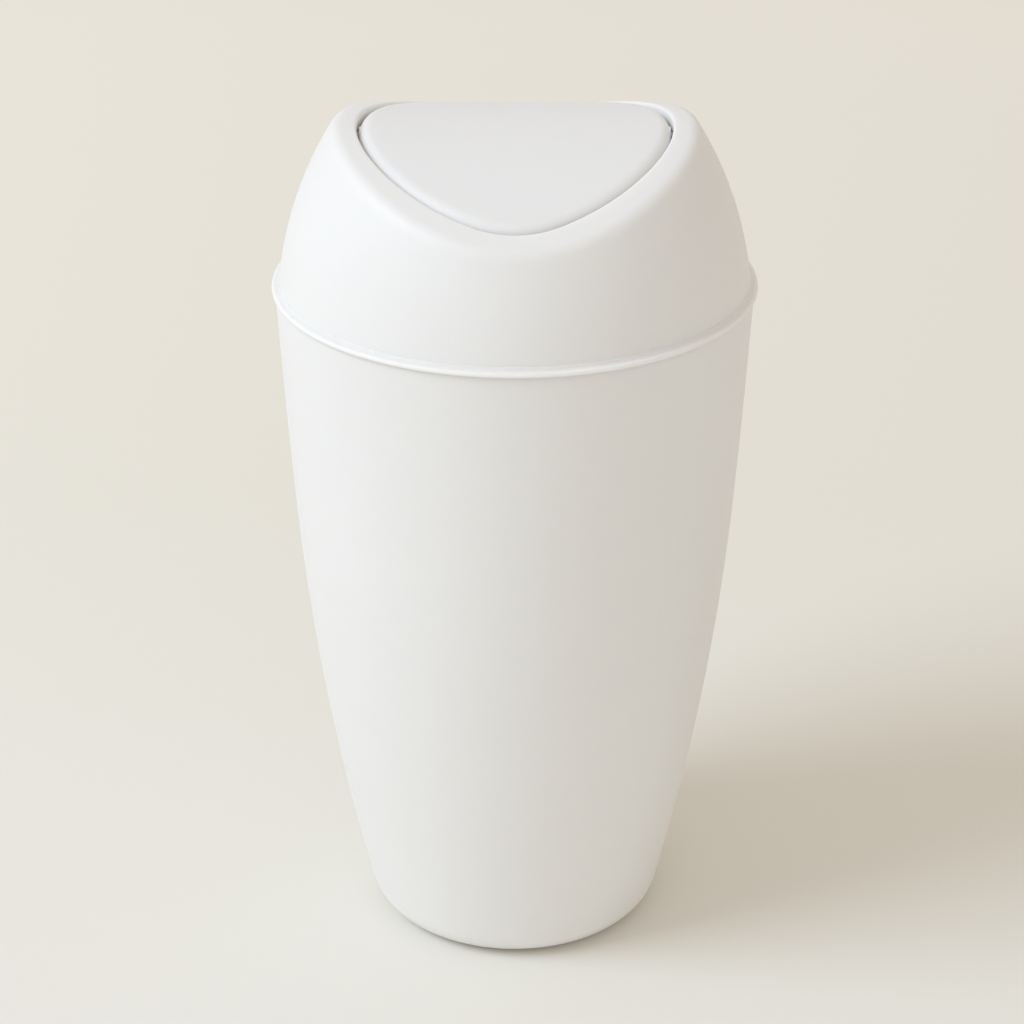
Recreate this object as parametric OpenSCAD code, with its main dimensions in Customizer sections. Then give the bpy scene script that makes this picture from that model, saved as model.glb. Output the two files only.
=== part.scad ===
// Countertop bin with a swing lid.
// Millimetres, +Z up. The origin is the centre of the foot ring, and the front of the bin faces -Y.
// The lid cover lifts off upwards, and the flap swings about the X axis on two pivot pins.

/* [Bin] */
// Height of the bin's rim above the surface that it stands on
bin_h = 199; // [170:1:220]
// Outer diameter of the bin at its rim
rim_d = 134; // [120:0.5:150]
// Thickness of the bin's side wall
bin_wall = 2; // [1.4:0.1:2.6]
// Thickness of the bin's floor
floor_t = 2.4; // [1.6:0.1:4]
// Radius of the wall's upper sweep, seen from the side
upper_sweep_r = 2500; // [2000:10:3500]
// Radius of the wall's lower sweep, seen from the side
lower_sweep_r = 789; // [700:1:900]
// Height at which the two sweeps meet
sweep_join_z = 135; // [115:1:150]
// Height above the rim at which the upper sweep would stand upright
upright_above_rim = 115; // [80:1:140]
// Radius of the round between the wall and the base
base_round_r = 10; // [6:0.5:12]
// Width of the foot ring
foot_ring_w = 4; // [3:0.5:8]
// Height of the hollow inside the foot ring
foot_recess = 1; // [0.5:0.1:2]

/* [Lid cover] */
// How far the flange stands out past the rim
flange_overhang = 1; // [0.6:0.1:3]
// Thickness of the flange
flange_t = 1.4; // [1:0.1:2.4]
// Radius of the hollow round between the flange and the dome
flange_fillet_r = 0.4; // [0.3:0.1:0.8]
// How far the plug reaches down into the bin
plug_depth = 10; // [6:0.5:16]
// Thickness of the plug's wall
plug_t = 1.6; // [1.2:0.1:2.4]
// Radial clearance between the plug and the bin's wall
plug_clearance = 0.3; // [0.2:0.05:0.6]
// Step from the flange's edge in to the foot of the dome
dome_step = 1.9; // [1.6:0.1:3.5]
// Radius of the dome, seen from the side
dome_sweep_r = 104; // [96:0.5:114]
// How far the dome's centre lies below the rim
dome_centre_drop = 9.7; // [6:0.1:13]
// Thickness of the dome's wall
dome_wall = 2; // [1.4:0.1:2.6]
// Height of the lid's top above the rim
crown_h = 46.9; // [44:0.1:50]
// Radius of the top of the lid, which bends down to the front and the back
crown_r = 114; // [105:1:140]
// Thickness of the rim round the opening
lip_t = 2; // [1.4:0.1:2.6]
// Width of the rim round the opening, left and right
lip_side_w = 6.4; // [5.6:0.1:9]
// Width of the rim round the opening, front and back
lip_end_w = 6.4; // [5:0.1:10]
// How much wider the opening is at its middle than at its round ends, on each side
opening_belly = 15.5; // [12:0.5:18]
// Depth of the wall that hangs down round the opening
throat_depth = 6; // [4.5:0.5:8]
// Thickness of that wall
throat_t = 1.6; // [1.2:0.1:2.2]

/* [Flap] */
// Gap between the flap and the opening, left and right
side_gap = 1; // [0.8:0.1:1.6]
// Gap between the flap and the opening, front and back
end_gap = 1.4; // [1.2:0.1:2.4]
// How far the flap's top lies below the rim of the opening
flap_sink = 0.3; // [0.1:0.1:1]
// Thickness of the flap's top
flap_t = 1.6; // [1.2:0.1:2.2]
// Depth of the flap's turned-down edge
edge_depth = 4.5; // [3.5:0.5:5]
// Thickness of the flap's turned-down edge
edge_t = 2; // [1.4:0.1:2.6]
// Depth of the rib that joins the two pin bosses, below the flap's top
rib_depth = 14; // [8:0.5:18]
// Thickness of that rib
rib_t = 2.4; // [1.6:0.1:4]

/* [Pivot] */
// Diameter of the pivot pins
pin_d = 3; // [2.4:0.1:3.4]
// How far the pins' axis lies below the flap's top
axis_drop = 4.2; // [3.6:0.1:5]
// Length of pin held in the flap
pin_grip = 8; // [6:0.5:12]
// Length of pin that runs in the lid cover
pin_reach = 4; // [3:0.1:4.2]
// Wall round the pins, in the flap's bosses and the lid cover's lugs
boss_wall = 1.6; // [1.4:0.1:1.8]
// Radial clearance of the pins in the lugs
pin_clearance = 0.05; // [0.02:0.01:0.1]
// Radial press of the pins in the flap's bosses
pin_press = 0.02; // [0:0.01:0.04]
// Space beyond the end of each pin
pin_end_space = 0.3; // [0.2:0.1:0.4]
// Thickness of the closed end of each lug
lug_end_wall = 0.8; // [0.6:0.1:1]

/* [Hidden] */
// The large sweeps take more steps round the circle than the rest
$fn = 180;
sweep_fn = 1440;
// How far a cut runs past the face that it opens
past = 1;
// Chords in a quarter of an oval, along its side arc and along its end arc
side_chords = 12;
end_chords = 4;

// The wall's two sweeps are tangent circles, in the plane of radius and height
rim_r = rim_d / 2;
upper_c_z = bin_h + upright_above_rim;
upper_c_r = rim_r - sqrt(pow(upper_sweep_r, 2) - pow(upright_above_rim, 2));
join_r = upper_c_r + sqrt(pow(upper_sweep_r, 2) - pow(upper_c_z - sweep_join_z, 2));
sweep_ratio = lower_sweep_r / upper_sweep_r;
lower_c_r = join_r + (upper_c_r - join_r) * sweep_ratio;
lower_c_z = sweep_join_z + (upper_c_z - sweep_join_z) * sweep_ratio;
base_r = lower_c_r + sqrt(pow(lower_sweep_r - base_round_r, 2) - pow(lower_c_z - base_round_r, 2));
floor_z = foot_recess + floor_t;

// Heights where the sweeps and the base round meet, at a depth into the wall
function join_z(inset) = sweep_join_z + inset * (upper_c_z - sweep_join_z) / upper_sweep_r;
function round_z(inset) =
    lower_c_z - (lower_c_z - base_round_r) * (lower_sweep_r - inset) / (lower_sweep_r - base_round_r);
// Radius of the upper sweep at a height, at a depth into the wall
function wall_r(z, inset) = upper_c_r + sqrt(pow(upper_sweep_r - inset, 2) - pow(upper_c_z - z, 2));

flange_r = rim_r + flange_overhang;
dome_foot_r = flange_r - dome_step;
dome_c_r = dome_foot_r - sqrt(pow(dome_sweep_r, 2) - pow(dome_centre_drop, 2));
dome_c_z = bin_h - dome_centre_drop;
plug_z = bin_h - plug_depth;
plug_r = wall_r(plug_z, bin_wall) - plug_clearance;
plug_inner_r = plug_r - plug_t;

// The lid's crown is a cylinder along X, and the flap's top is one about the same axis
crown_z = bin_h + crown_h;
crown_c_z = crown_z - crown_r;
flap_top_r = crown_r - flap_sink;
flap_top_z = crown_z - flap_sink;

// The dome and the crown meet furthest out at the front and the back, where their two circles cross
crown_offset = [dome_c_r, dome_c_z - crown_c_z];
centre_gap = norm(crown_offset);
cross_along = (pow(centre_gap, 2) + pow(crown_r, 2) - pow(dome_sweep_r, 2)) / (2 * centre_gap);
cross_aside = sqrt(pow(crown_r, 2) - pow(cross_along, 2));
crest_r = (crown_offset.x * cross_along + crown_offset.y * cross_aside) / centre_gap;
crest_side_r = dome_c_r + sqrt(pow(dome_sweep_r, 2) - pow(crown_z - dome_c_z, 2));

opening_half_w = crest_side_r - lip_side_w;
opening_half_l = crest_r - lip_end_w;
opening_end_r = opening_half_w - opening_belly;
flap_half_w = opening_half_w - side_gap;
flap_half_l = opening_half_l - end_gap;
flap_end_r = opening_end_r - (side_gap + end_gap) / 2;

axis_z = flap_top_z - axis_drop;
pin_r = pin_d / 2;
boss_r = pin_r + boss_wall;
lug_r = pin_r + pin_clearance + boss_wall;
pin_in_x = flap_half_w - pin_grip;
pin_out_x = opening_half_w + pin_reach;
lug_bore_x = pin_out_x + pin_end_space;

// The point at an angle on a circle of radius 1
function direction(angle) = [cos(angle), sin(angle)];

// Half of the bin's outline, set in from the outer surface
module wall_outline(inset) {
    top = bin_h + (inset > 0 ? past : 0);
    intersection() {
        translate([upper_c_r, upper_c_z]) circle(r = upper_sweep_r - inset, $fn = sweep_fn);
        translate([0, join_z(inset)]) square([flange_r, top - join_z(inset)]);
    }
    intersection() {
        translate([lower_c_r, lower_c_z]) circle(r = lower_sweep_r - inset, $fn = sweep_fn);
        translate([0, round_z(inset)]) square([flange_r, join_z(inset) - round_z(inset)]);
    }
    intersection() {
        union() {
            translate([base_r, base_round_r]) circle(r = base_round_r - inset);
            translate([0, inset]) square([base_r, base_round_r]);
        }
        square([flange_r, round_z(inset)]);
    }
}

// An oval of four tangent arcs in short chords: half width in X, half length in Y, radius of its two ends
module oval(half_w, half_l, end_r) {
    end_c = half_l - end_r;
    reach = half_w - end_r;
    side_c = (pow(end_c, 2) - pow(reach, 2)) / (2 * reach);
    side_r = half_w + side_c;
    turn = atan2(end_c, side_c);
    quarter = concat(
        [for (step = [0.5 : side_chords]) side_r * direction(turn * step / side_chords) - [side_c, 0]],
        [for (step = [0.5 : end_chords]) [0, end_c] + end_r * direction(turn + (90 - turn) * step / end_chords)]
    );
    last = len(quarter) - 1;
    polygon(concat(
        quarter,
        [for (i = [0 : last]) [-quarter[last - i].x, quarter[last - i].y]],
        -quarter,
        [for (i = [0 : last]) [quarter[last - i].x, -quarter[last - i].y]]
    ));
}

// The column over an oval, from the rim up
module oval_column(half_w, half_l, end_r) {
    translate([0, 0, bin_h]) linear_extrude(crown_h + past) oval(half_w, half_l, end_r);
}

// Everything under a crown of a given radius, as a bar along X
module under_crown(r) {
    translate([0, 0, crown_c_z]) rotate([0, 90, 0]) cylinder(r = r, h = 2 * flange_r, center = true, $fn = sweep_fn);
}

// The band between the crown's surface and a depth below it
module crown_band(top_r, depth) {
    difference() {
        under_crown(top_r);
        under_crown(top_r - depth);
    }
}

// The dome's solid shape, set in from the outer surface
module dome(inset) {
    rotate_extrude()
        intersection() {
            translate([dome_c_r, dome_c_z]) circle(r = dome_sweep_r - inset, $fn = sweep_fn);
            translate([0, bin_h]) square([flange_r, 2 * crown_h]);
        }
}

// The flange with its rounded edge, the round up to the dome and the plug below
module flange_and_plug() {
    edge_r = flange_t / 2;
    rotate_extrude() {
        translate([plug_inner_r, bin_h]) square([flange_r - edge_r - plug_inner_r, flange_t]);
        translate([flange_r - edge_r, bin_h + edge_r]) circle(r = edge_r, $fn = 48);
        translate([plug_inner_r, plug_z]) square([plug_t, plug_depth + edge_r]);
        difference() {
            translate([dome_foot_r - flange_fillet_r, bin_h + flange_t - edge_r])
                square([2 * flange_fillet_r, flange_fillet_r + edge_r]);
            translate([dome_foot_r + flange_fillet_r, bin_h + flange_t + flange_fillet_r])
                circle(r = flange_fillet_r, $fn = 48);
        }
    }
}

// A round bar along X from x0 to x1 on the pivot axis
module axis_bar(r, x0, x1) {
    translate([x0, 0, axis_z]) rotate([0, 90, 0]) cylinder(r = r, h = x1 - x0);
}

module bin() {
    color([0.95, 0.94, 0.93])
        rotate_extrude()
            difference() {
                wall_outline(0);
                difference() {
                    wall_outline(bin_wall);
                    square([flange_r, floor_z]);
                }
                square([base_r - foot_ring_w, foot_recess]);
            }
}

module lid_cover() {
    color([0.96, 0.95, 0.94])
        difference() {
            union() {
                flange_and_plug();
                intersection() {
                    difference() {
                        dome(0);
                        intersection() {
                            dome(dome_wall);
                            under_crown(crown_r - lip_t);
                        }
                    }
                    under_crown(crown_r);
                }
                intersection() {
                    crown_band(crown_r - lip_t / 2, throat_depth - lip_t / 2);
                    oval_column(opening_half_w + throat_t, opening_half_l + throat_t, opening_end_r + throat_t);
                }
                for (side = [-1, 1])
                    scale([side, 1, 1])
                        axis_bar(lug_r, opening_half_w, lug_bore_x + lug_end_wall);
            }
            translate([0, 0, plug_z - past])
                cylinder(r = plug_inner_r, h = plug_depth + 2 * past);
            oval_column(opening_half_w, opening_half_l, opening_end_r);
            axis_bar(pin_r + pin_clearance, -lug_bore_x, lug_bore_x);
        }
}

module flap() {
    color([0.95, 0.94, 0.92])
        difference() {
            union() {
                intersection() {
                    crown_band(flap_top_r, flap_t);
                    oval_column(flap_half_w, flap_half_l, flap_end_r);
                }
                intersection() {
                    crown_band(flap_top_r, edge_depth);
                    difference() {
                        oval_column(flap_half_w, flap_half_l, flap_end_r);
                        oval_column(flap_half_w - edge_t, flap_half_l - edge_t, flap_end_r - edge_t);
                    }
                }
                intersection() {
                    for (side = [-1, 1])
                        scale([side, 1, 1])
                            axis_bar(boss_r, pin_in_x, flap_half_w);
                    oval_column(flap_half_w, flap_half_l, flap_end_r);
                }
                translate([-flap_half_w + edge_t / 2, -rib_t / 2, flap_top_z - rib_depth])
                    cube([2 * flap_half_w - edge_t, rib_t, rib_depth - flap_t / 2]);
            }
            for (side = [-1, 1])
                scale([side, 1, 1])
                    axis_bar(pin_r - pin_press, pin_in_x, flap_half_w + past);
        }
}

module pivot_pin(side) {
    color([0.9, 0.9, 0.88])
        scale([side, 1, 1])
            axis_bar(pin_r, pin_in_x, pin_out_x);
}

module pivot_pin_left() {
    pivot_pin(-1);
}

module pivot_pin_right() {
    pivot_pin(1);
}

bin();
lid_cover();
flap();
pivot_pin_left();
pivot_pin_right();
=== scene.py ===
"""A countertop bin with a swing lid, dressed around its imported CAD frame.

Metres, +Z up. The front of the bin faces -Y, and the flap swings about an axis along X.
"""
import math

import bmesh
import bpy
import numpy as np
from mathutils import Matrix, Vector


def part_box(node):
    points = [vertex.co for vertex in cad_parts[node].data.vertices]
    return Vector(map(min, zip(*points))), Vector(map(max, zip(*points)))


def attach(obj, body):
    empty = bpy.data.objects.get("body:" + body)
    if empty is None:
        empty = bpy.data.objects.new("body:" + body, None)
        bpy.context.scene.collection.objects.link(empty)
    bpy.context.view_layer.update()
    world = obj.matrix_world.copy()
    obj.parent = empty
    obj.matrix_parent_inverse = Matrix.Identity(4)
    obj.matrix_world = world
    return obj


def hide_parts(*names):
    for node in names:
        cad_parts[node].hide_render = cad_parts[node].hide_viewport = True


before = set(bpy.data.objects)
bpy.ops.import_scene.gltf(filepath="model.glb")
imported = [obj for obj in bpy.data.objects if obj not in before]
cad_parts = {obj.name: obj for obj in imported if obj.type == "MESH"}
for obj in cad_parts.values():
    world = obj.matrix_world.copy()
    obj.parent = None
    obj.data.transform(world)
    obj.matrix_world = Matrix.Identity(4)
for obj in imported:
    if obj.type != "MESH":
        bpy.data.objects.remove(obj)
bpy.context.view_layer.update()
_, bin_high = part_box("bin")
lid_low, lid_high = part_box("lid_cover")
flap_low, flap_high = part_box("flap")
pin_low, pin_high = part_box("pivot_pin_right")

MM = 0.001

# The bin's wall: two tangent sweeps above a round base
RIM_Z = bin_high.z
RIM_R = 67 * MM
BIN_WALL = 2 * MM
FLOOR_T = 2.4 * MM
UPPER_SWEEP_R = 2500 * MM
LOWER_SWEEP_R = 789 * MM
SWEEP_JOIN_Z = 135 * MM
UPRIGHT_ABOVE_RIM = 115 * MM
BASE_ROUND_R = 10 * MM
FOOT_RING_W = 4 * MM
FOOT_RECESS = 1 * MM
RIM_ROUND = 0.5 * MM
FOOT_ROUND = 0.4 * MM
GATE_MARK_R = 2.2 * MM
GATE_MARK_H = 0.5 * MM

# The lid cover: plug, flange, dome, and the rolled rim round the opening
FLANGE_R = 68 * MM
FLANGE_T = 1.4 * MM
FLANGE_TOP_ROUND = 0.8 * MM
FLANGE_LOW_ROUND = 0.5 * MM
FLANGE_FILLET_R = 1 * MM
FLANGE_FILLET_END_DEG = 182
PLUG_Z = lid_low.z
PLUG_CLEARANCE = 0.3 * MM
PLUG_T = 1.6 * MM
PLUG_ROUND = 0.5 * MM
DOME_STEP = 1.9 * MM
DOME_SWEEP_R = 104 * MM
DOME_CENTRE_DROP = 9.7 * MM
DOME_WALL = 2 * MM
CROWN_Z = lid_high.z
CROWN_R = 114 * MM
LIP_T = 2 * MM
LIP_ROLL_SIDE = 4 * MM
LIP_ROLL_END = 6 * MM
LIP_INNER_ROLL = 0.8 * MM
LIP_SIDE_W = 6.4 * MM
LIP_END_W = 6.4 * MM
OPENING_BELLY = 15.5 * MM
THROAT_DEPTH = 6 * MM
THROAT_T = 1.6 * MM
EDGE_ROUND = 0.4 * MM

# The flap and its pivot
SIDE_GAP = 0.7 * MM
END_GAP = 1.1 * MM
FLAP_TOP_Z = flap_high.z
FLAP_T = 1.6 * MM
FLAP_ROLL_SIDE = 3.2 * MM
FLAP_ROLL_END = 4.2 * MM
FLAP_EDGE_DEPTH = 4.5 * MM
FLAP_EDGE_T = 2 * MM
RIB_Z = flap_low.z
RIB_T = 2.4 * MM
AXIS_Z = (pin_low.z + pin_high.z) / 2
PIN_R = 1.5 * MM
PIN_CHAMFER = 0.35 * MM
PIN_CLEARANCE = 0.05 * MM
BOSS_WALL = 1.6 * MM
PIN_END_SPACE = 0.3 * MM
LUG_END_WALL = 0.8 * MM

# Steps round each moulding and along its surfaces
ROUND_STEPS = 384
SWEEP_STEPS = 56
BASE_STEPS = 18
EDGE_STEPS = 4
FLANGE_STEPS = 8
FILLET_STEPS = 6
DOME_STEPS = 40
ROLL_STEPS = 8
FLAP_ROLL_STEPS = 10
CROWN_STEPS = 30
UNDERSIDE_STEPS = 16
BAR_STEPS = 96
PIN_STEPS = 48

# Where rings lie, as shares of the way across or out to a surface's edge
CROWN_FROM = 0.03
UNDERSIDE_SHARES = (0.95, 0.05)
BAND_SHARES = (0.25, 0.5, 0.75)
GATE_MARK_MID = 0.4
GATE_MARK_FACE = 0.8
FLOOR_MID = 0.5

# How often the crest's radius is worked out again, and the angle from which an edge is sharp
CREST_ROUNDS = 80
CREASE_ANGLE = math.radians(38)

# The bosses stop just short of the flap's side, and their holes are cut past it
BOSS_SHORT = 0.1 * MM
CUT_PAST = 1 * MM

# The plastic's gloss, the light that it lets through, and its grain
PLASTIC_IOR = 1.49
BODY_ROUGHNESS = 0.48
PIN_ROUGHNESS = 0.3
TRANSLUCENCY = 0.7
SCATTER_RADIUS = (1, 0.95, 0.85)
SCATTER_DEPTH = 2.5 * MM
DRIFT_SCALE = 14
DRIFT_DETAIL = 3
DRIFT_SPAN = (0.3, 0.7)
DRIFT_DARKENS_TO = 0.985
GRAIN_SCALE = 2600
GRAIN_DETAIL = 2
GRAIN_DEPTH = 0.05 * MM
BODY_GRAIN = 0.25
PIN_GRAIN = 0.1
WHITE = (0.866, 0.858, 0.843)
PIN_WHITE = (0.8, 0.79, 0.76)

# The floor: half its width, its finish, and its tones by how far back they lie, which grow lighter
# towards the back as painted light
FLOOR_HALF = 3.0
FLOOR_ROUGHNESS = 0.9
FLOOR_SPECULAR = 0.1
# Painted light: the floor's tone is lighter further back, standing in for the light that falls there
FLOOR_PAINTED_LIGHT_TONES = {-0.1: (0.843, 0.824, 0.765), 0.27: (0.854, 0.828, 0.75), 0.9: (0.92, 0.89, 0.81)}

# Each light's place, target, width in metres, power in watts, and colour
WINDOW_LIGHT = ((-2.2, -0.8, 2.3), (0, 0, 0.12), 1.8, 55, (0.7, 0.83, 0.99))
LOW_FILL = ((-0.5, -1.4, 0.32), (0, 0, 0.04), 0.5, 1, (0.85, 0.93, 1))
ROOM_COLOUR = (1, 0.93, 0.85, 1)
ROOM_STRENGTH = 0.68

# The photograph's camera
IMAGE_PX = 1024
FOCAL_PX = 3000
SENSOR_MM = 36
CAMERA_POS = (-0.79 * MM, -783.9 * MM, 511.2 * MM)
CAMERA_PITCH = math.radians(26.1)

# Where the wall's and the dome's circles have their centres, in radius and height
upper_c_z = RIM_Z + UPRIGHT_ABOVE_RIM
upper_c_r = RIM_R - math.sqrt(UPPER_SWEEP_R ** 2 - UPRIGHT_ABOVE_RIM ** 2)
join_r = upper_c_r + math.sqrt(UPPER_SWEEP_R ** 2 - (upper_c_z - SWEEP_JOIN_Z) ** 2)
sweep_ratio = LOWER_SWEEP_R / UPPER_SWEEP_R
lower_c_r = join_r + (upper_c_r - join_r) * sweep_ratio
lower_c_z = SWEEP_JOIN_Z + (upper_c_z - SWEEP_JOIN_Z) * sweep_ratio
base_r = lower_c_r + math.sqrt(
    (LOWER_SWEEP_R - BASE_ROUND_R) ** 2 - (lower_c_z - BASE_ROUND_R) ** 2
)
dome_foot_r = FLANGE_R - DOME_STEP
dome_c_r = dome_foot_r - math.sqrt(DOME_SWEEP_R ** 2 - DOME_CENTRE_DROP ** 2)
dome_c_z = RIM_Z - DOME_CENTRE_DROP
crown_c_z = CROWN_Z - CROWN_R
flap_top_r = FLAP_TOP_Z - crown_c_z


def crest_radius():
    """Radius at which the dome and the crown meet at the front."""
    aside, up = dome_c_r, dome_c_z - crown_c_z
    gap = math.hypot(aside, up)
    along = (gap ** 2 + CROWN_R ** 2 - DOME_SWEEP_R ** 2) / (2 * gap)
    across = math.sqrt(CROWN_R ** 2 - along ** 2)
    return (aside * along + up * across) / gap


opening_half_w = (
    dome_c_r + math.sqrt(DOME_SWEEP_R ** 2 - (CROWN_Z - dome_c_z) ** 2) - LIP_SIDE_W
)
opening_half_l = crest_radius() - LIP_END_W
opening_end_r = opening_half_w - OPENING_BELLY
flap_half_w = opening_half_w - SIDE_GAP
flap_half_l = opening_half_l - END_GAP
flap_end_r = opening_end_r - (SIDE_GAP + END_GAP) / 2


def arc(centre, radius, start, end, steps):
    """Points of an arc in the plane of radius and height. Angles are in degrees, from outward to up."""
    angles = np.radians(np.linspace(start, end, steps + 1))
    return [(centre[0] + radius * math.cos(a), centre[1] + radius * math.sin(a)) for a in angles]


def unit(vectors):
    """The vectors at length 1."""
    return vectors / np.linalg.norm(vectors, axis=1)[:, None]


def turned(start, end, share):
    """Unit vectors that turn from start to end by a share of the angle between them."""
    angle = np.arccos(np.clip((start * end).sum(1), -1, 1))[:, None]
    return (np.sin((1 - share) * angle) * start + np.sin(share * angle) * end) / np.sin(angle)


def ring(radius, height, azimuths):
    """A level circle of points."""
    return np.column_stack(
        [radius * np.cos(azimuths), radius * np.sin(azimuths), np.full(len(azimuths), height)]
    )


def oval(half_w, half_l, end_r, normals):
    """The oval's points whose outward normals have these angles, and the normals themselves."""
    end_c = half_l - end_r
    reach = half_w - end_r
    side_c = (end_c ** 2 - reach ** 2) / (2 * reach)
    side_r = half_w + side_c
    cos, sin = np.cos(normals), np.sin(normals)
    on_side = np.abs(sin) * side_c < np.abs(cos) * end_c
    x = np.where(on_side, side_r * cos - side_c * np.sign(cos), end_r * cos)
    y = np.where(on_side, side_r * sin, end_r * sin + end_c * np.sign(sin))
    return np.column_stack([x, y]), np.column_stack([cos, sin])


def crown_height(y, radius):
    """Height of a crown of a given radius, at a distance in front of or behind the axis."""
    return crown_c_z + np.sqrt(radius ** 2 - y ** 2)


def on_crown(plan, radius):
    """Points of a crown above a plan outline."""
    return np.column_stack([plan, crown_height(plan[:, 1], radius)])


def crown_normals(points):
    """The crown's normals at points on it, or at a depth below it."""
    y, z = points[:, 1], points[:, 2] - crown_c_z
    return unit(np.column_stack([np.zeros(len(y)), y, z]))


def new_object(name, verts, faces):
    """A mesh object with smooth faces, and sharp edges where its surfaces meet at an angle."""
    mesh = bpy.data.meshes.new(name)
    mesh.from_pydata([tuple(v) for v in verts], [], faces)
    mesh.validate()
    tidy_mesh(mesh)
    obj = bpy.data.objects.new(name, mesh)
    bpy.context.scene.collection.objects.link(obj)
    return obj


def tidy_mesh(mesh):
    """Faces that look outwards, shaded smooth between creases."""
    work = bmesh.new()
    work.from_mesh(mesh)
    bmesh.ops.recalc_face_normals(work, faces=work.faces)
    work.to_mesh(mesh)
    work.free()
    mesh.shade_smooth()
    mesh.set_sharp_from_angle(angle=CREASE_ANGLE)


def skin(name, rows, closed=False):
    """A surface through rings of points. Without closed, a point at each end closes it."""
    count = len(rows[0])
    verts = np.vstack(rows)
    faces = []
    last = len(rows) if closed else len(rows) - 1
    for i in range(last):
        a, b = i * count, (i + 1) % len(rows) * count
        for j in range(count):
            k = (j + 1) % count
            faces.append((a + j, a + k, b + k, b + j))
    if not closed:
        for row, start in ((rows[0], 0), (rows[-1], (len(rows) - 1) * count)):
            pole = len(verts)
            verts = np.vstack([verts, row.mean(0)])
            faces += [(start + j, start + (j + 1) % count, pole) for j in range(count)]
    return new_object(name, verts, faces)


def bar(name, start, end, radius, chamfer=0.0, steps=BAR_STEPS):
    """A round bar along X on the pivot axis, closed at both ends."""
    sign = 1 if end > start else -1
    stations = [
        (start, radius - chamfer),
        (start + sign * chamfer, radius),
        (end - sign * chamfer, radius),
        (end, radius - chamfer),
    ]
    if not chamfer:
        stations = [(start, radius), (end, radius)]
    turn = np.linspace(0, 2 * math.pi, steps, endpoint=False)
    rows = [
        np.column_stack([np.full(steps, x), r * np.cos(turn), AXIS_Z + r * np.sin(turn)])
        for x, r in stations
    ]
    return skin(name, rows)


def block(name, low, high):
    """A closed box between two corners."""
    x, y, z = zip(low, high)
    verts = [(x[i], y[j], z[k]) for i in (0, 1) for j in (0, 1) for k in (0, 1)]
    faces = [(0, 1, 3, 2), (4, 6, 7, 5), (0, 4, 5, 1), (2, 3, 7, 6), (0, 2, 6, 4), (1, 5, 7, 3)]
    return new_object(name, verts, faces)


def combine(piece, tool, operation):
    """Joins a solid to a piece, or cuts it away, and removes the tool."""
    step = piece.modifiers.new(operation, "BOOLEAN")
    step.operation = operation
    step.solver = "EXACT"
    step.object = tool
    view = bpy.context.evaluated_depsgraph_get()
    result = bpy.data.meshes.new_from_object(piece.evaluated_get(view))
    piece.modifiers.clear()
    piece.data = result
    tidy_mesh(result)
    bpy.data.objects.remove(tool)


def wall_profile(inset, low_z, high_z):
    """The bin's wall from its base round up, at a depth into the wall, in radius and height."""
    join = math.degrees(math.asin((upper_c_z - SWEEP_JOIN_Z) / UPPER_SWEEP_R))
    foot = math.degrees(math.asin((lower_c_z - BASE_ROUND_R) / (LOWER_SWEEP_R - BASE_ROUND_R)))
    top = math.degrees(math.asin((upper_c_z - high_z) / (UPPER_SWEEP_R - inset)))
    base = math.degrees(math.asin((BASE_ROUND_R - low_z) / (BASE_ROUND_R - inset)))
    points = arc((base_r, BASE_ROUND_R), BASE_ROUND_R - inset, -base, -foot, BASE_STEPS)
    points += arc((lower_c_r, lower_c_z), LOWER_SWEEP_R - inset, -foot, -join, SWEEP_STEPS)[1:]
    points += arc((upper_c_r, upper_c_z), UPPER_SWEEP_R - inset, -join, -top, SWEEP_STEPS)[1:]
    return points


def make_bin():
    """The tall body: foot ring, base round, swept wall, rim and inner wall."""
    ring_r = base_r - FOOT_RING_W
    floor_z = FOOT_RECESS + FLOOR_T
    mark_z = FOOT_RECESS - GATE_MARK_H
    outline = [(GATE_MARK_R * GATE_MARK_MID, mark_z), (GATE_MARK_R * GATE_MARK_FACE, mark_z)]
    outline += [(GATE_MARK_R, FOOT_RECESS), (ring_r * FLOOR_MID, FOOT_RECESS)]
    outline += arc((ring_r - FOOT_ROUND, FOOT_RECESS - FOOT_ROUND), FOOT_ROUND, 90, 0, EDGE_STEPS)
    outline += arc((ring_r + FOOT_ROUND, FOOT_ROUND), FOOT_ROUND, 180, 270, EDGE_STEPS)
    outline += wall_profile(0, 0, RIM_Z - RIM_ROUND)
    rim_out = outline[-1][0]
    outline += arc((rim_out - RIM_ROUND, RIM_Z - RIM_ROUND), RIM_ROUND, 0, 90, EDGE_STEPS)[1:]
    inner = wall_profile(BIN_WALL, floor_z, RIM_Z - RIM_ROUND)[::-1]
    rim_in = inner[0][0]
    outline += arc((rim_in + RIM_ROUND, RIM_Z - RIM_ROUND), RIM_ROUND, 90, 180, EDGE_STEPS)[:-1]
    outline += inner + [(ring_r * FLOOR_MID, floor_z), (GATE_MARK_R, floor_z)]
    azimuths = np.linspace(0, 2 * math.pi, ROUND_STEPS, endpoint=False)
    return skin("bin_body", [ring(r, z, azimuths) for r, z in outline])


def dome_radius(z, inset):
    """The dome's radius at a height, at a depth below its surface."""
    return dome_c_r + np.sqrt((DOME_SWEEP_R - inset) ** 2 - (z - dome_c_z) ** 2)


def crest_points(azimuths, inset):
    """Where the dome and the crown meet, each set in by a depth that may vary round the lid."""
    r = np.full(len(azimuths), dome_foot_r)
    for _ in range(CREST_ROUNDS):
        z = crown_height(r * np.sin(azimuths), CROWN_R - inset)
        r = dome_radius(z, inset)
    return np.column_stack([r * np.cos(azimuths), r * np.sin(azimuths), z])


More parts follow.
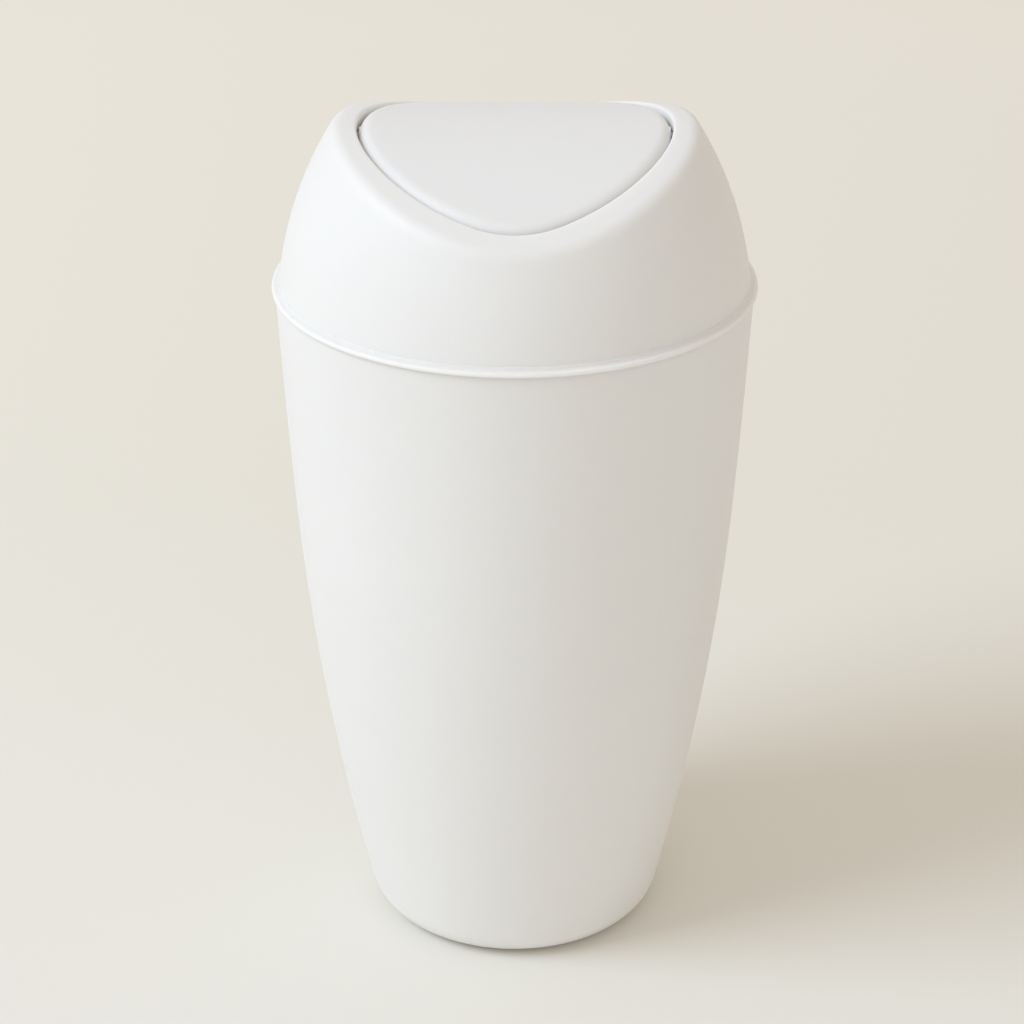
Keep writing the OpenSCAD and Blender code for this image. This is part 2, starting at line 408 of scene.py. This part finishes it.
def lid_rows():
    """The lid cover's rings, from the plug's inside, over the dome and the rim, to the dome's inside."""
    normals = np.linspace(0, 2 * math.pi, ROUND_STEPS, endpoint=False)
    edge, out = oval(opening_half_w, opening_half_l, opening_end_r, normals)
    azimuths = np.arctan2(edge[:, 1], edge[:, 0])
    into_opening = np.column_stack([-out, np.zeros(ROUND_STEPS)])

    wall_in = upper_c_r + math.sqrt((UPPER_SWEEP_R - BIN_WALL) ** 2 - (upper_c_z - PLUG_Z) ** 2)
    plug_r = wall_in - PLUG_CLEARANCE
    plug_in = plug_r - PLUG_T
    profile = [(plug_in, RIM_Z), (plug_in, PLUG_Z + PLUG_ROUND)]
    profile += arc((plug_in + PLUG_ROUND, PLUG_Z + PLUG_ROUND), PLUG_ROUND, 180, 270, EDGE_STEPS)[1:]
    profile += arc((plug_r - PLUG_ROUND, PLUG_Z + PLUG_ROUND), PLUG_ROUND, 270, 360, EDGE_STEPS)
    profile += [(plug_r, RIM_Z - PLUG_ROUND), (plug_r, RIM_Z)]
    low_c, top_c = FLANGE_R - FLANGE_LOW_ROUND, FLANGE_R - FLANGE_TOP_ROUND
    profile += arc((low_c, RIM_Z + FLANGE_LOW_ROUND), FLANGE_LOW_ROUND, -90, 0, EDGE_STEPS)
    top_z = RIM_Z + FLANGE_T - FLANGE_TOP_ROUND
    profile += arc((top_c, top_z), FLANGE_TOP_ROUND, 0, 90, FLANGE_STEPS)
    fillet_c = (dome_foot_r + FLANGE_FILLET_R, RIM_Z + FLANGE_T + FLANGE_FILLET_R)
    profile += arc(fillet_c, FLANGE_FILLET_R, 270, FLANGE_FILLET_END_DEG, FILLET_STEPS)
    rows = [ring(r, z, azimuths) for r, z in profile]

    roll = LIP_ROLL_SIDE + (LIP_ROLL_END - LIP_ROLL_SIDE) * np.sin(azimuths) ** 2
    ball = crest_points(azimuths, roll)
    radial = np.column_stack([np.cos(azimuths), np.sin(azimuths), np.zeros(ROUND_STEPS)])
    dome_c = radial * dome_c_r + np.array([0, 0, dome_c_z])
    dome_n = unit(ball - dome_c)
    crown_n = crown_normals(ball)
    dome_top = ball + roll[:, None] * dome_n
    start_z = fillet_c[1]
    for share in np.linspace(0, 1, DOME_STEPS + 1)[:-1]:
        z = start_z + (dome_top[:, 2] - start_z) * share
        r = dome_radius(z, 0)
        rows.append(np.column_stack([radial[:, :2] * r[:, None], z]))
    for share in np.linspace(0, 1, ROLL_STEPS + 1):
        rows.append(ball + roll[:, None] * turned(dome_n, crown_n, share))

    inner_plan = edge + out * LIP_INNER_ROLL
    inner_ball = on_crown(inner_plan, CROWN_R - LIP_INNER_ROLL)
    inner_n = crown_normals(inner_ball)
    band_from = rows[-1][:, :2]
    band_to = (inner_ball + LIP_INNER_ROLL * inner_n)[:, :2]
    for share in BAND_SHARES:
        rows.append(on_crown(band_from + (band_to - band_from) * share, CROWN_R))
    for share in np.linspace(0, 1, ROLL_STEPS + 1):
        rows.append(inner_ball + LIP_INNER_ROLL * turned(inner_n, into_opening, share))

    throat_out = edge + out * THROAT_T
    rows.append(on_crown(edge, CROWN_R - THROAT_DEPTH + EDGE_ROUND))
    rows.append(on_crown(edge + out * EDGE_ROUND, CROWN_R - THROAT_DEPTH))
    rows.append(on_crown(throat_out - out * EDGE_ROUND, CROWN_R - THROAT_DEPTH))
    rows.append(on_crown(throat_out, CROWN_R - THROAT_DEPTH + EDGE_ROUND))
    rows.append(on_crown(throat_out, CROWN_R - LIP_T))

    inner_crest = crest_points(azimuths, np.full(ROUND_STEPS, DOME_WALL))
    rows.append(inner_crest)
    ledge_z = RIM_Z + FLANGE_T
    for share in np.linspace(0, 1, DOME_STEPS // 2 + 1)[1:]:
        z = inner_crest[:, 2] + (ledge_z - inner_crest[:, 2]) * share
        r = dome_radius(z, DOME_WALL)
        rows.append(np.column_stack([radial[:, :2] * r[:, None], z]))
    rows.append(ring(plug_in, ledge_z, azimuths))
    return rows


def make_lid_cover():
    """The lid cover with its two bearing lugs and their blind bores."""
    piece = skin("lid_shell", lid_rows(), closed=True)
    bore_x = abs(pin_high.x) + PIN_END_SPACE
    lug_r = PIN_R + PIN_CLEARANCE + BOSS_WALL
    for side in (-1, 1):
        lug_from = side * (opening_half_w + THROAT_T / 2)
        lug = bar("lug", lug_from, side * (bore_x + LUG_END_WALL), lug_r)
        combine(piece, lug, "UNION")
        bore = bar("bore", side * flap_half_w, side * bore_x, PIN_R + PIN_CLEARANCE)
        combine(piece, bore, "DIFFERENCE")
    return piece


def flap_rows():
    """The flap's rings, from the middle of its top, round its edge, to the middle of its underside."""
    normals = np.linspace(0, 2 * math.pi, ROUND_STEPS, endpoint=False)
    edge, out = oval(flap_half_w, flap_half_l, flap_end_r, normals)
    outward = np.column_stack([out, np.zeros(ROUND_STEPS)])
    roll = (FLAP_ROLL_SIDE + (FLAP_ROLL_END - FLAP_ROLL_SIDE) * np.sin(normals) ** 2)[:, None]
    ball = on_crown(edge - out * roll, flap_top_r - roll[:, 0])
    top_n = crown_normals(ball)
    top_edge = (ball + roll * top_n)[:, :2]
    rows = []
    for share in np.linspace(CROWN_FROM, 1, CROWN_STEPS)[:-1]:
        rows.append(on_crown(top_edge * share, flap_top_r))
    for share in np.linspace(0, 1, FLAP_ROLL_STEPS + 1):
        rows.append(ball + roll * turned(top_n, outward, share))
    deep = flap_top_r - FLAP_EDGE_DEPTH
    inner = edge - out * FLAP_EDGE_T
    rows.append(on_crown(edge, deep + EDGE_ROUND))
    rows.append(on_crown(edge - out * EDGE_ROUND, deep))
    rows.append(on_crown(inner + out * EDGE_ROUND, deep))
    rows.append(on_crown(inner, deep + EDGE_ROUND))
    rows.append(on_crown(inner, flap_top_r - FLAP_T - EDGE_ROUND))
    rows.append(on_crown(inner - out * EDGE_ROUND, flap_top_r - FLAP_T))
    for share in np.linspace(*UNDERSIDE_SHARES, UNDERSIDE_STEPS):
        rows.append(on_crown(inner * share, flap_top_r - FLAP_T))
    return rows


def make_flap():
    """The flap with its two pin bosses and the rib that joins them."""
    piece = skin("flap_shell", flap_rows())
    boss_from = pin_low.x
    half_rib = RIB_T / 2
    rib_reach = flap_half_w - FLAP_EDGE_T / 2
    rib_top = FLAP_TOP_Z - FLAP_T / 2
    rib = block("rib", (-rib_reach, -half_rib, RIB_Z), (rib_reach, half_rib, rib_top))
    combine(piece, rib, "UNION")
    for side in (-1, 1):
        boss = bar("boss", side * boss_from, side * (flap_half_w - BOSS_SHORT), PIN_R + BOSS_WALL)
        combine(piece, boss, "UNION")
        hole = bar("hole", side * boss_from, side * (flap_half_w + CUT_PAST), PIN_R)
        combine(piece, hole, "DIFFERENCE")
    return piece


def make_pin(name, side):
    """A pivot pin with chamfered ends."""
    return bar(name, side * pin_low.x, side * pin_high.x, PIN_R, PIN_CHAMFER, PIN_STEPS)


def moulded_plastic(name, colour, roughness, grain):
    """Translucent satin plastic with a fine moulded grain and a slow drift of tone."""
    material = bpy.data.materials.new(name)
    material.use_nodes = True
    nodes, links = material.node_tree.nodes, material.node_tree.links
    shader = nodes["Principled BSDF"]
    shader.inputs["IOR"].default_value = PLASTIC_IOR
    shader.inputs["Roughness"].default_value = roughness
    shader.inputs["Subsurface Weight"].default_value = TRANSLUCENCY
    shader.inputs["Subsurface Radius"].default_value = SCATTER_RADIUS
    shader.inputs["Subsurface Scale"].default_value = SCATTER_DEPTH
    place = nodes.new("ShaderNodeTexCoord").outputs["Object"]

    tone = nodes.new("ShaderNodeTexNoise")
    tone.inputs["Scale"].default_value = DRIFT_SCALE
    tone.inputs["Detail"].default_value = DRIFT_DETAIL
    ramp = nodes.new("ShaderNodeValToRGB")
    dark, light = ramp.color_ramp.elements
    dark.position, light.position = DRIFT_SPAN
    dark.color = (*[c * DRIFT_DARKENS_TO for c in colour], 1)
    light.color = (*colour, 1)
    links.new(place, tone.inputs["Vector"])
    links.new(tone.outputs["Fac"], ramp.inputs["Fac"])
    links.new(ramp.outputs["Color"], shader.inputs["Base Color"])

    fine = nodes.new("ShaderNodeTexNoise")
    fine.inputs["Scale"].default_value = GRAIN_SCALE
    fine.inputs["Detail"].default_value = GRAIN_DETAIL
    fine_bump = nodes.new("ShaderNodeBump")
    fine_bump.inputs["Strength"].default_value = grain
    fine_bump.inputs["Distance"].default_value = GRAIN_DEPTH
    links.new(place, fine.inputs["Vector"])
    links.new(fine.outputs["Fac"], fine_bump.inputs["Height"])
    links.new(fine_bump.outputs["Normal"], shader.inputs["Normal"])
    return material


def floor_painted_light(tones):
    """A matt surface whose tone drifts along Y, by a table of tones and the Y that each is for; the
    drift is painted light, lighter towards the back.
    """
    material = bpy.data.materials.new("floor_painted_light")
    material.use_nodes = True
    nodes, links = material.node_tree.nodes, material.node_tree.links
    shader = nodes["Principled BSDF"]
    shader.inputs["Roughness"].default_value = FLOOR_ROUGHNESS
    shader.inputs["Specular IOR Level"].default_value = FLOOR_SPECULAR
    place = nodes.new("ShaderNodeTexCoord").outputs["Object"]
    axes = nodes.new("ShaderNodeSeparateXYZ")
    front, *middle, back = sorted(tones)
    along = nodes.new("ShaderNodeMapRange")
    along.inputs["From Min"].default_value = front
    along.inputs["From Max"].default_value = back
    ramp = nodes.new("ShaderNodeValToRGB")
    stops = ramp.color_ramp.elements
    # Painted light: the ramp runs the floor's tone lighter towards the back
    for y in middle:
        stops.new((y - front) / (back - front))
    for stop, y in zip(stops, sorted(tones)):
        stop.color = (*tones[y], 1)
    links.new(place, axes.inputs["Vector"])
    links.new(axes.outputs["Y"], along.inputs["Value"])
    links.new(along.outputs["Result"], ramp.inputs["Fac"])
    links.new(ramp.outputs["Color"], shader.inputs["Base Color"])
    return material


def make_floor():
    """The pale surface that the bin stands on."""
    half = FLOOR_HALF
    verts = [(-half, -half, 0), (half, -half, 0), (half, half, 0), (-half, half, 0)]
    floor = new_object("floor", verts, [(0, 1, 2, 3)])
    floor.data.materials.append(floor_painted_light(FLOOR_PAINTED_LIGHT_TONES))


def area_light(name, place, target, size, power, colour):
    """A round soft light at a place, turned towards a target."""
    light = bpy.data.lights.new(name, "AREA")
    light.shape = "DISK"
    light.size = size
    light.energy = power
    light.color = colour
    lamp = bpy.data.objects.new(name, light)
    lamp.location = place
    aim = np.array(target) - np.array(place)
    yaw = math.atan2(aim[0], -aim[1])
    pitch = math.atan2(math.hypot(aim[0], aim[1]), -aim[2])
    lamp.rotation_euler = (pitch, 0, yaw + math.pi)
    bpy.context.scene.collection.objects.link(lamp)


def make_lights():
    """A broad cool light from the left, a faint low one in front, and a warm fill from the room."""
    area_light("window", *WINDOW_LIGHT)
    area_light("low_fill", *LOW_FILL)
    world = bpy.data.worlds.new("room")
    bpy.context.scene.world = world
    world.use_nodes = True
    nodes = world.node_tree.nodes
    nodes["Background"].inputs["Color"].default_value = ROOM_COLOUR
    nodes["Background"].inputs["Strength"].default_value = ROOM_STRENGTH


def make_camera():
    """The camera at the photograph's place, with its field of view."""
    camera = bpy.data.cameras.new("photo_camera")
    camera.sensor_width = SENSOR_MM
    camera.lens = FOCAL_PX / IMAGE_PX * SENSOR_MM
    rig = bpy.data.objects.new("photo_camera", camera)
    rig.location = CAMERA_POS
    rig.rotation_euler = (math.pi / 2 - CAMERA_PITCH, 0, 0)
    bpy.context.scene.collection.objects.link(rig)
    bpy.context.scene.camera = rig


def dress(piece, body, node, material):
    """Puts a piece on its body, in place of its CAD node, with its finish."""
    piece.data.materials.clear()
    piece.data.materials.append(material)
    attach(piece, body)
    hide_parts(node)


bpy.context.scene.view_settings.view_transform = "Standard"
make_camera()
make_floor()
make_lights()
bin_plastic = moulded_plastic("bin_plastic", WHITE, BODY_ROUGHNESS, BODY_GRAIN)
lid_plastic = moulded_plastic("lid_plastic", WHITE, BODY_ROUGHNESS, BODY_GRAIN)
pin_plastic = moulded_plastic("pin_plastic", PIN_WHITE, PIN_ROUGHNESS, PIN_GRAIN)
dress(make_bin(), "bin", "bin", bin_plastic)
dress(make_lid_cover(), "lid", "lid_cover", lid_plastic)
dress(make_flap(), "flap", "flap", lid_plastic)
dress(make_pin("pin_left", -1), "flap", "pivot_pin_left", pin_plastic)
dress(make_pin("pin_right", 1), "flap", "pivot_pin_right", pin_plastic)
